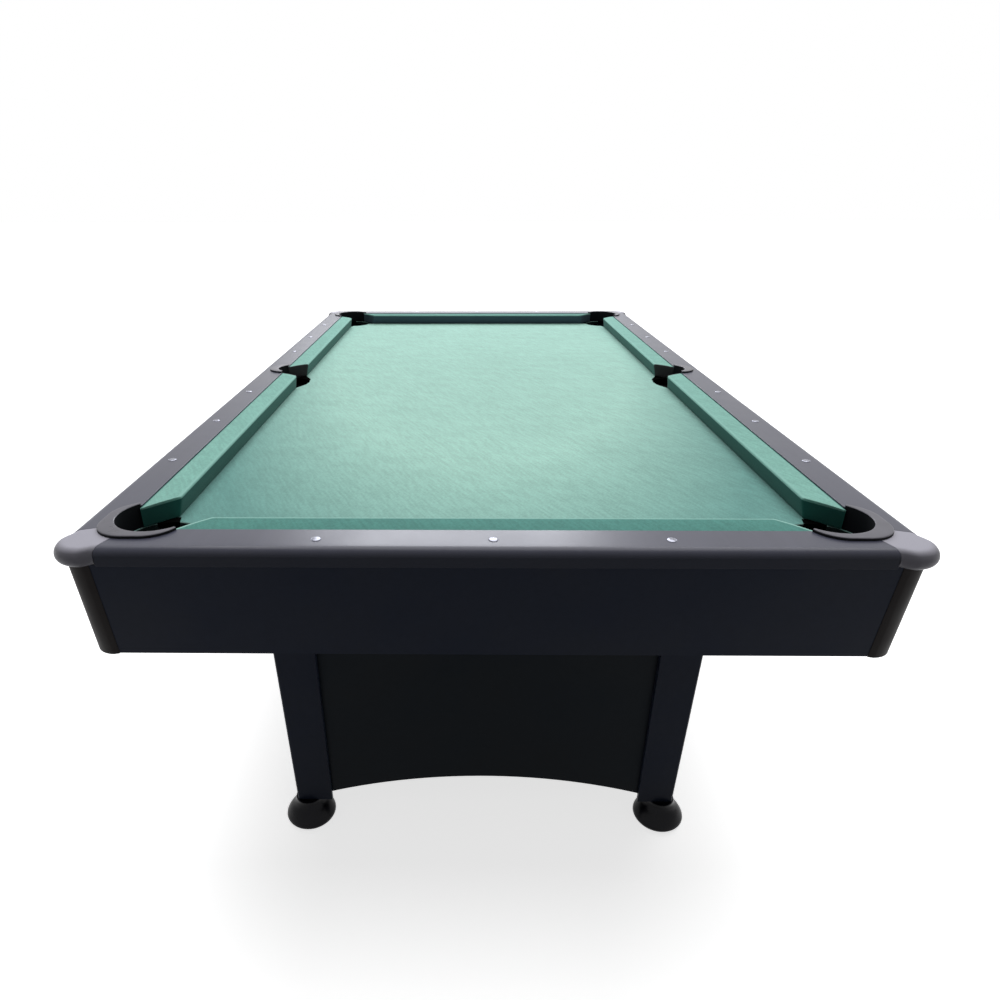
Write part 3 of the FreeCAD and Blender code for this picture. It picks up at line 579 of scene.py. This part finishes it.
def facingUp(parts):
    # each surface's quads in the order that makes its level part face up
    ordered = []
    for points, faces in parts:
        first = points[faces[0]]
        across = np.cross(first[1] - first[0], first[2] - first[0])
        ordered.append((points, faces if across[2] > 0 else [face[::-1] for face in faces]))
    return ordered


bedCloth = makePiece("bed_cloth_sheet", facingUp(bedClothParts()), closed=False, sharp=180)
dress(bedCloth, bedClothFinish)
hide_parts("bed_cloth")
meshArea(bedCloth)
print("bed cloth made")


# Cushion covers: the section wraps from under the rubber round the face and nose to the groove at the rail.
cushion = {"footReach": 0.006, "footLevel": 0.7615, "footRound": 0.0015, "noseReach": -0.0009, "noseRound": 0.0066,
           "backPlay": 0.0002, "backLevel": 0.7976, "underEnd": 0.008, "crown": 0.0008, "crownStart": 0.004,
           "topLevel": 0.79, "endRound": 0.0022, "endShares": (0, 0.2, 0.4, 0.6, 0.8, 0.95), "endTurns": (25, 50, 75),
           "rows": 90}
# the side jaws' facings, near-black as painted shade; their closed ends: the share of the section and its depth at
# each step out of the jaw
facing = {"thickness": 0.003, "play": 0.0004, "fit": 0.998,
          "steps": [(0.0, 0.0001), (0.5, 0.0001), (0.93, 0.0001), (0.985, 0.0005), (1.0, 0.0012)]}


def cushionSection():
    # (reach, level) points from the back of the underside to the back of the top, which swells by half a sine
    back = table["cushionDepth"] - cushion["backPlay"]
    under = np.linspace(back, cushion["underEnd"], 10)
    under = np.stack([under, np.full(10, cushion["footLevel"])], 1)
    outline = [(*under[-1], 0), (cushion["footReach"], cushion["footLevel"], cushion["footRound"]),
               (cushion["noseReach"], table["noseLevel"], cushion["noseRound"]), (back, cushion["backLevel"], 0)]
    rounded = roundedProfile(outline, 8)
    top = rounded[-1] + (rounded[-2] - rounded[-1]) * np.linspace(1, 0, 12)[:, None]
    section = np.concatenate([under[:-1], rounded[:-1], top[1:]])
    share = (section[:, 0] - cushion["crownStart"]) / (table["cushionDepth"] - cushion["crownStart"])
    swell = cushion["crown"] * np.sin(np.pi * np.clip(share, 0, 1))
    section[:, 1] += np.where(section[:, 1] > cushion["topLevel"], swell, 0)
    return section


def jawLine(reach, kind):
    # how far back a cushion's end stands at a reach: an arc that leaves the nose line and runs into the slanted jaw
    nose, back, radius = (jaws[kind + part] for part in ("Nose", "Back", "Round"))
    reach = np.maximum(reach, 0)
    slope = (nose - back) / table["cushionDepth"]
    bend = math.atan2(1, slope)
    depth = radius * (1 - math.cos(bend))
    deep = radius - np.minimum(reach, depth)
    curve = nose + radius * math.tan(bend / 2) - np.sqrt(np.maximum(radius ** 2 - deep ** 2, 0))
    return np.where(reach < depth, curve, nose - slope * reach)


def cornerJaw(reach):
    return jawLine(reach, "corner")


def sideJaw(reach):
    return jawLine(reach, "side") + facing["thickness"]


def cushionGrid(startCut, stopCut, length):
    # rows along the cushion between its two slanted ends, closed by rows that shrink into each end
    edge, count = cushion["endRound"], cushion["rows"]
    share = np.linspace(0, 1, count)[:, None]
    run = (startCut(section[:, 0]) + edge) * (1 - share) + (length - stopCut(section[:, 0]) - edge) * share
    pole = np.array([section[0, 0], section[[0, -1], 1].mean()])

    def closing(cut):
        # rows from a pole on the open back outwards: shrunk sections on the end's own surface, then a rounded edge
        rows = [(share, 0.0) for share in cushion["endShares"]]
        last = cushion["endShares"][-1]
        rows += [(last + (1 - last) * math.sin(turn), edge * (1 - math.cos(turn)))
                 for turn in np.radians(cushion["endTurns"])]
        shares, depths = np.array(rows).T[:, :, None]
        shrunk = pole + (section - pole) * shares[..., None]
        return cut(shrunk[..., 0]) + depths, shrunk

    startAt, startSections = closing(startCut)
    stopAt, stopSections = closing(stopCut)
    middle = np.broadcast_to(section, (count, *section.shape))
    return (np.concatenate([startAt, run, (length - stopAt)[::-1]]),
            np.concatenate([startSections, middle, stopSections[::-1]]))


def makeCover(name, finish, points, flipped):
    cover = makePiece("cushion_cloth_" + name, [surface(points)], closed=False, flipped=flipped, sharp=180)
    dress(cover, finish)
    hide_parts("cushion_cover_" + name)
    width = float(np.linalg.norm(np.diff(section, axis=0), axis=1).sum())
    meshArea(cover) / width


section = cushionSection()
at, sections = cushionGrid(cornerJaw, cornerJaw, 2 * halfWidth)
for endName, end in ends.items():
    points = np.stack([at - halfWidth, end * (halfLength + sections[..., 0]), sections[..., 1]], -1)
    makeCover(endName, endCushionFinish, points, end > 0)
at, sections = cushionGrid(sideJaw, cornerJaw, halfLength)
for sideName, side in sides.items():
    for endName, end in ends.items():
        points = np.stack([side * (halfWidth + sections[..., 0]), end * at, sections[..., 1]], -1)
        makeCover(sideName + "_" + endName, sideCushionFinish, points, side * end < 0)


def jawFacings():
    # near-black facings on the four jaws beside the side pockets, painted shade on the jaws: the cushion's section,
    # carried a little way out
    jaw = jawLine(section[:, 0], "side")
    middle = section.mean(0)
    steps = facing["steps"] + [(1.0, facing["thickness"] + facing["play"])]
    at = np.stack([jaw.mean() + (jaw - jaw.mean()) * share + deep for share, deep in steps])
    grown = np.stack([middle + (section - middle) * share * facing["fit"] for share, deep in steps])
    return [surface(np.stack([side * (halfWidth + grown[..., 0]), end * at, grown[..., 1]], -1),
                    wrapColumns=True, capped=True) for side in sides.values() for end in ends.values()]


facings = makePiece("jaw_facings", jawFacings(), sharp=50)
# near-black facings: painted shade on the side jaws
dress(facings, rubberAndJawShadeFinish)
print("cushions made")


# Rails: the section is carried along, its inner edge stepping back round the pockets and its ends slanted to the caps.
railPlan = {"edgeRadius": 0.015, "capJoint": 0.0610, "jointLean": 0.33, "seam": 0.0003, "softness": 0.0006,
            "fineEnd": 0.13, "fineMiddle": 0.06}
cornerBore = pockets["cornerRadius"] + pockets["linerWall"]
sideBore = pockets["sideRadius"] + pockets["linerWall"]


def jointReach(reach):
    # how far beyond the nose corner the rail's end stands at a reach
    return railPlan["capJoint"] - railPlan["jointLean"] * np.maximum(table["railReach"] - reach, 0)


def railGrid(halfRun, middle, extraBores=()):
    # stations, closest at the ends and about the middle pocket; the inner edge's reach at each is the larger of the
    # cushion's back and the pocket's circle there, found by turns because the slanted end moves with the reach
    depth, edge, fine = table["cushionDepth"], railPlan["edgeRadius"], railPlan["fineEnd"]
    limit = halfRun + float(jointReach(depth))
    runs = [np.linspace(-limit, -limit + fine, 60), np.linspace(-limit + fine, -middle, 16)[1:-1]]
    if middle:
        runs += [np.linspace(-middle, middle, 81), np.linspace(middle, limit - fine, 16)[1:-1]]
    stations = np.concatenate(runs + [np.linspace(limit - fine, limit, 60)])
    corner = pockets["cornerReach"]
    bores = [(corner, end * (halfRun + corner), cornerBore) for end in (-1, 1)] + list(extraBores)

    def standAt(station, reach):
        return station * (halfRun + jointReach(reach) - railPlan["seam"]) / limit

    inner = np.full(len(stations), depth)
    for _ in range(12):
        along = standAt(stations, inner)
        inner = np.full(len(stations), depth)
        for out, at, radius in bores:
            gap = radius ** 2 - (along - at) ** 2
            inner = np.maximum(inner, np.where(gap > 0, out + np.sqrt(np.maximum(gap, 0)), 0))
    top, outside = table["railTop"], table["railReach"]
    arc = arcOf((outside - edge, top - edge), edge, 90, 0, 14)
    across = inner[:, None] + (arc[0, 0] - inner[:, None]) * np.linspace(0, 1, 8)[:-1]
    rest = np.concatenate([arc[:, 0], [outside, table["bedReach"], table["bedReach"]]])
    reach = np.concatenate([inner[:, None], across, np.broadcast_to(rest, (len(stations), len(rest)))], 1)
    level = np.concatenate([[table["clothTop"]], np.full(7, top), arc[:, 1],
                            [table["railBottom"], table["railBottom"], table["clothTop"]]])
    return standAt(stations[:, None], reach), reach, np.broadcast_to(level, reach.shape)


def makeRail(name, points):
    rail = makeSwept("rail_board_" + name, points, "rail_laminate", railFinish, softness=railPlan["softness"])
    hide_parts("rail_" + name)


along, reach, level = railGrid(halfWidth, 0)
for endName, end in ends.items():
    makeRail(endName, np.stack([along, end * (halfLength + reach), level], -1))
along, reach, level = railGrid(halfLength, railPlan["fineMiddle"], [(pockets["sideReach"], 0, sideBore)])
for sideName, side in sides.items():
    makeRail(sideName, np.stack([side * (halfWidth + reach), along, level], -1))
print("rails made")


# Corner caps: from the throat's circle out over the top, round the edge and back underneath.
cap = {"reach": 0.136, "cornerRadius": 0.050, "edgeRadius": 0.018, "underRadius": 0.013, "proud": 0.0012,
       "seam": 0.0003, "softness": 0.0008}


def capOutline(inset, under=False):
    # the cap's outer line in plan, drawn in by an inset: flush with the rail at each joint, and swelling to the corner
    bend = cap["reach"] - cap["cornerRadius"]
    flush = table["railReach"] + cap["proud"]
    start = jointReach(table["railReach"] if under else flush - inset) + cap["seam"]
    along = np.linspace(start, bend, 15)[:-1]
    share = (along - start) / (bend - start)
    swell = flush + (cap["reach"] - flush) * share * share * (3 - 2 * share) - inset
    corner = arcOf((bend, bend), cap["cornerRadius"] - inset, 90, 0, 28)
    return np.concatenate([np.stack([along, swell], 1), corner, np.stack([swell, along], 1)[::-1]])


def capGrid():
    # the throat's arc runs between the two joints, where the circle meets the rails' slanted ends
    centre = pockets["cornerReach"]
    circle = arcOf((centre, centre), cornerBore, 90, 20, 799)
    meets = np.argmin(np.abs(circle[:, 0] - jointReach(circle[:, 1]) - cap["seam"]))
    turn = np.linspace(90, 20, 800)[meets]
    inner = arcOf((centre, centre), cornerBore, turn, 90 - turn, 56)
    top, low, edge, under = table["railTop"], table["railBottom"], cap["edgeRadius"], cap["underRadius"]
    flat = capOutline(edge)
    columns = [(inner, low), (inner, top)]
    columns += [(inner + (flat - inner) * share, top) for share in np.linspace(0.12, 1, 8)]
    for turn in np.radians(np.linspace(0, 90, 13))[1:]:
        columns.append((capOutline(edge * (1 - math.sin(turn))), top - edge * (1 - math.cos(turn))))
    for turn in np.radians(np.linspace(0, 90, 9))[1:]:
        columns.append((capOutline(under * (1 - math.cos(turn)), True), low + under * (1 - math.sin(turn))))
    return levelled(columns)


capPoints = capGrid()
for name, side, end in corners:
    piece = makeSwept("corner_casting_" + name, atCorner(capPoints, side, end), "cap_silver", silverFinish,
                      softness=cap["softness"])
    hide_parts("corner_cap_" + name)
print("corner caps made")


# Pocket liners: a flange on the rails and a collar down the throat, both swept round the pocket.
liner = {"flange": 0.005, "cornerFlange": 0.084, "cornerBend": 0.058, "armBack": 0.051, "armWidth": 0.0025,
         "sideFlange": 0.0725, "lip": 0.0018, "bevel": 0.0022, "bevelShare": 0.4, "bevelDepth": 0.0030,
         "throatAndShadeFrom": 0.0036}


def linerSection(inner, outer, collar):
    # closed section at each step: up the throat, over the lip, out to the flange's bevelled edge and back
    top, lip = table["railTop"] + liner["flange"], liner["lip"]
    away = outer - inner
    wide = np.linalg.norm(away, axis=1)[:, None]
    away = away / wide
    edge = np.minimum(liner["bevel"], wide * liner["bevelShare"])
    columns = [(inner, table["clothTop"])]
    for turn in np.radians(np.linspace(0, 90, 6)):
        columns.append((inner + away * lip * (1 - math.cos(turn)), top - lip * (1 - math.sin(turn))))
    for share in (0.25, 0.5, 0.75, 1.0):
        columns.append((inner + away * (lip + (wide - lip - edge) * share), top))
    for turn in np.radians(np.linspace(0, 90, 6))[1:]:
        down = liner["bevelDepth"] * (1 - math.cos(turn))
        columns.append((outer - away * edge * (1 - math.sin(turn)), top - down))
    columns += [(outer, table["railTop"]), (collar, table["railTop"]), (collar, table["clothTop"])]
    return levelled(columns)


def cornerLinerGrid():
    # the flange's outline: an arc along each arm that runs out at its tip, and a round bend between them
    start = pockets["cornerReach"]
    reach = start + liner["cornerFlange"]
    rise = reach - table["cushionDepth"] - liner["armWidth"]
    swing = (liner["armBack"] ** 2 + rise ** 2) / (2 * rise)
    turn = math.degrees(2 * math.atan2(rise, liner["armBack"]))
    bend = reach - liner["cornerBend"]
    outline = [arcOf((reach - swing, start), swing, -turn, 0, 24),
               arcOf((bend, bend), liner["cornerBend"], 0, 90, 40)[1:],
               arcOf((start, reach - swing), swing, 90, 90 + turn, 24)[1:]]
    tip = math.degrees(math.acos((table["cushionDepth"] - start) / pockets["cornerRadius"]))
    radii = (pockets["cornerRadius"], cornerBore)
    inner, collar = (arcOf((start, start), radius, -tip, 90 + tip, 96) for radius in radii)
    return linerSection(inner, alongPath(np.concatenate(outline), 97), collar)


def sideLinerGrid():
    # the flange's outline is one arc through the collar's two sides and the flange's reach
    reach, spread, flange = pockets["sideReach"], pockets["sideRadius"], liner["sideFlange"]
    offset = (flange ** 2 - spread ** 2) / (2 * flange)
    swing = math.degrees(math.acos((table["cushionDepth"] - reach - offset) / (flange - offset)))
    tip = math.degrees(math.acos((table["cushionDepth"] - reach) / spread))
    inner, collar = (arcOf((reach, 0), radius, -tip, tip, 72) for radius in (spread, sideBore))
    return linerSection(inner, arcOf((reach + offset, 0), flange - offset, -swing, swing, 72), collar)


def makeLiner(name, points):
    # faces below the flange's edge take the near-black throat finish: the collar down the throat, and painted shade
    # on the flange's outer wall and lower bevel
    piece = makeSwept("liner_collar_" + name, points, "liner_plastic", linerFinish, throatFinish)
    centres = np.zeros(len(piece.data.polygons) * 3)
    piece.data.polygons.foreach_get("center", centres)
    low = centres[2::3] < table["railTop"] + liner["throatAndShadeFrom"]
    piece.data.polygons.foreach_set("material_index", low.astype(int))
    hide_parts("pocket_liner_" + name)


cornerLiner, sideLiner = cornerLinerGrid(), sideLinerGrid()
for name, side, end in corners:
    makeLiner(name, atCorner(cornerLiner, side, end))
for sideName, side in sides.items():
    makeLiner("side_" + sideName, (sideLiner + (halfWidth, 0, 0)) * (side, 1, 1))
print("pocket liners made")


# Sights: turned buttons, a low crown inside a fine rim. The rim's steps are shares of the radius and heights.
sights = {"reach": 0.088, "radius": 0.008, "crown": 0.0018, "crownFall": 0.0008, "crownShare": 0.86,
          "rim": [(0.90, 0.0007), (0.95, 0.0009), (1, 0.0004), (1, 0), (0, 0)],
          "endShares": (-0.25, 0, 0.25), "sideShares": (-0.375, -0.25, -0.125, 0.125, 0.25, 0.375)}


def sightParts():
    swell = [(sights["crownShare"] * s, sights["crown"] - sights["crownFall"] * s ** 2) for s in np.linspace(0, 1, 7)]
    profile = np.array(swell + sights["rim"]) * (sights["radius"], 1) + (0, table["railTop"])
    places = [(share * 2 * halfWidth, end * (halfLength + sights["reach"]))
              for end in ends.values() for share in sights["endShares"]]
    places += [(side * (halfWidth + sights["reach"]), share * 2 * halfLength)
               for side in sides.values() for share in sights["sideShares"]]
    return [surface(turnedGrid(profile, x, y, 28), wrapRows=True) for x, y in places]


sightButtons = makePiece("sight_buttons", sightParts())
dress(sightButtons, sightFinish)
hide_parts("rail_sights")
print("sights made")


# Corner strips: a quarter round wall that follows the aprons' lean and thins out over them.
strip = {"thickness": 0.003, "radius": 0.040, "overlap": 0.009, "edge": 0.0008, "drop": 0.001, "softness": 0.0007}


def stripGrid():
    rows = []
    low, high = table["apronBottom"], table["railBottom"]
    for level in np.linspace(low - strip["drop"], high, 7):
        inner = table["apronTopReach"] - table["apronLean"] * (high - level) / (high - low)
        bend = inner + strip["thickness"] - strip["radius"]
        start = bend - strip["overlap"]
        thin = inner + strip["edge"]
        inside = arcOf((bend, bend), strip["radius"] - strip["thickness"], 90, 0, 24)
        outside = arcOf((bend, bend), strip["radius"], 0, 90, 24)
        outline = np.concatenate([[(start, inner)], inside, [(inner, start), (thin, start)], outside, [(start, thin)]])
        rows.append(np.concatenate([outline, np.full((len(outline), 1), level)], 1))
    return np.stack(rows)


stripPoints = stripGrid()
for name, side, end in corners:
    piece = makeSwept("corner_trim_" + name, atCorner(stripPoints, side, end), "strip_plastic", stripFinish,
                      softness=strip["softness"])
    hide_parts("corner_strip_" + name)
print("corner strips made")


# Levelling feet: turned bells with a rolled rim and a waist under the post, as (radius, height, rounding) corners.
foot = {"x": 0.401, "y": 1.0235,
        "outline": [(0.0063, 0.034, 0), (0.027, 0.034, 0.003), (0.044, 0.0, 0.002), (0.050, 0.0, 0.002),
                    (0.0555, 0.007, 0.004), (0.0555, 0.014, 0.005), (0.047, 0.029, 0.009), (0.034, 0.042, 0.007),
                    (0.030, 0.0515, 0.004), (0.030, 0.0595, 0.0012), (0.0063, 0.0595, 0)]}

for name, side, end in corners:
    grid = turnedGrid(roundedProfile(foot["outline"], 7), side * foot["x"], end * foot["y"], 72)
    piece = makePiece("foot_shell_" + name, [surface(grid, wrapRows=True, wrapColumns=True)],
                      body="foot_" + name, sharp=30)
    dress(piece, footFinish)
    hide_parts("foot_bell_" + name)
print("feet made")


# Stage: a wide pale floor under a white surround. What the camera and reflections see is white, but for the
# object's shadow; the floor throws less light back at the object than it shows.
stage = {"size": 80.0, "shown": 0.95, "lift": 0.72, "thrown": 0.20}
light = {"surround": 0.10, "sky": 2.15, "skySpread": 62.0, "skyTurn": (-24.0, 4.0, 0.0),
         "window": 124.0, "windowSize": (3.0, 2.0), "windowPlace": (-0.15, 4.6, 3.3), "windowAim": (0.0, -0.2, 0.8),
         "windowTint": (0.92, 0.94, 1.0)}
view = {"lens": 24.9476, "sensor": 36, "shift": (0.04047, 0.05033), "place": (-0.04106, -2.18377, 1.28056),
        "turn": (62.9506, 0.1250, 0.6529), "far": 200}


def seenOrThrown(tree, kind, thrown, seen):
    # the output takes what is seen for camera, glossy and transmission rays, and else what lights the object
    path = addNode(tree, "ShaderNodeLightPath", {})
    share = path.outputs["Is Camera Ray"]
    for outlet in ("Is Glossy Ray", "Is Transmission Ray"):
        share = addNode(tree, "ShaderNodeMath", {0: share, 1: path.outputs[outlet]}, operation="MAXIMUM").outputs[0]
    mix = addNode(tree, "ShaderNodeMixShader", {0: share, 1: thrown.outputs[0], 2: seen.outputs[0]})
    addNode(tree, kind, {"Surface": mix.outputs[0]})


def makeFloor():
    grid = np.linspace(-stage["size"] / 2, stage["size"] / 2, 5)
    y, x = np.meshgrid(grid, grid, indexing="ij")
    points, faces = surface(np.stack([x, y, 0 * x], -1))
    mesh = bpy.data.meshes.new("floor")
    mesh.from_pydata(points, [], faces)
    paint = bpy.data.materials.new("floorPaint")
    tree = emptyTree(paint)
    shown, thrown = (addNode(tree, "ShaderNodeBsdfDiffuse", {"Color": (stage[key],) * 3})
                     for key in ("shown", "thrown"))
    lift = addNode(tree, "ShaderNodeEmission", {"Strength": stage["lift"]})
    seen = addNode(tree, "ShaderNodeAddShader", {0: shown.outputs[0], 1: lift.outputs[0]})
    seenOrThrown(tree, "ShaderNodeOutputMaterial", thrown, seen)
    mesh.materials.append(paint)
    placed("floor", mesh)


def makeWorld():
    # white to the camera and in reflections, and dim as a source of light
    world = bpy.data.worlds.new("studio")
    bpy.context.scene.world = world
    tree = emptyTree(world)
    thrown, seen = (addNode(tree, "ShaderNodeBackground", {"Strength": strength, "Color": (1, 1, 1)})
                    for strength in (light["surround"], 1.0))
    seenOrThrown(tree, "ShaderNodeOutputWorld", thrown, seen)


def makeLamp(name, kind, power):
    data = bpy.data.lights.new(name, kind)
    data.energy = power
    return placed(name, data)


makeFloor()
makeWorld()
sky = makeLamp("skyPanel", "SUN", light["sky"])
sky.data.angle = math.radians(light["skySpread"])
sky.rotation_euler = [math.radians(angle) for angle in light["skyTurn"]]
window = makeLamp("window", "AREA", light["window"])
window.data.shape = "RECTANGLE"
window.data.color = light["windowTint"]
window.data.size, window.data.size_y = light["windowSize"]
window.location = light["windowPlace"]
aim = Vector(light["windowAim"]) - Vector(light["windowPlace"])
window.rotation_euler = aim.to_track_quat("-Z", "Y").to_euler()

cameraData = bpy.data.cameras.new("camera")
cameraData.lens = view["lens"]
cameraData.sensor_width = view["sensor"]
cameraData.sensor_fit = "HORIZONTAL"
cameraData.shift_x, cameraData.shift_y = view["shift"]
cameraData.clip_end = view["far"]
camera = placed("camera", cameraData)
camera.location = view["place"]
camera.rotation_euler = [math.radians(angle) for angle in view["turn"]]
bpy.context.scene.camera = camera
bpy.context.scene.view_settings.view_transform = "Standard"
print("stage, lamps and camera set")
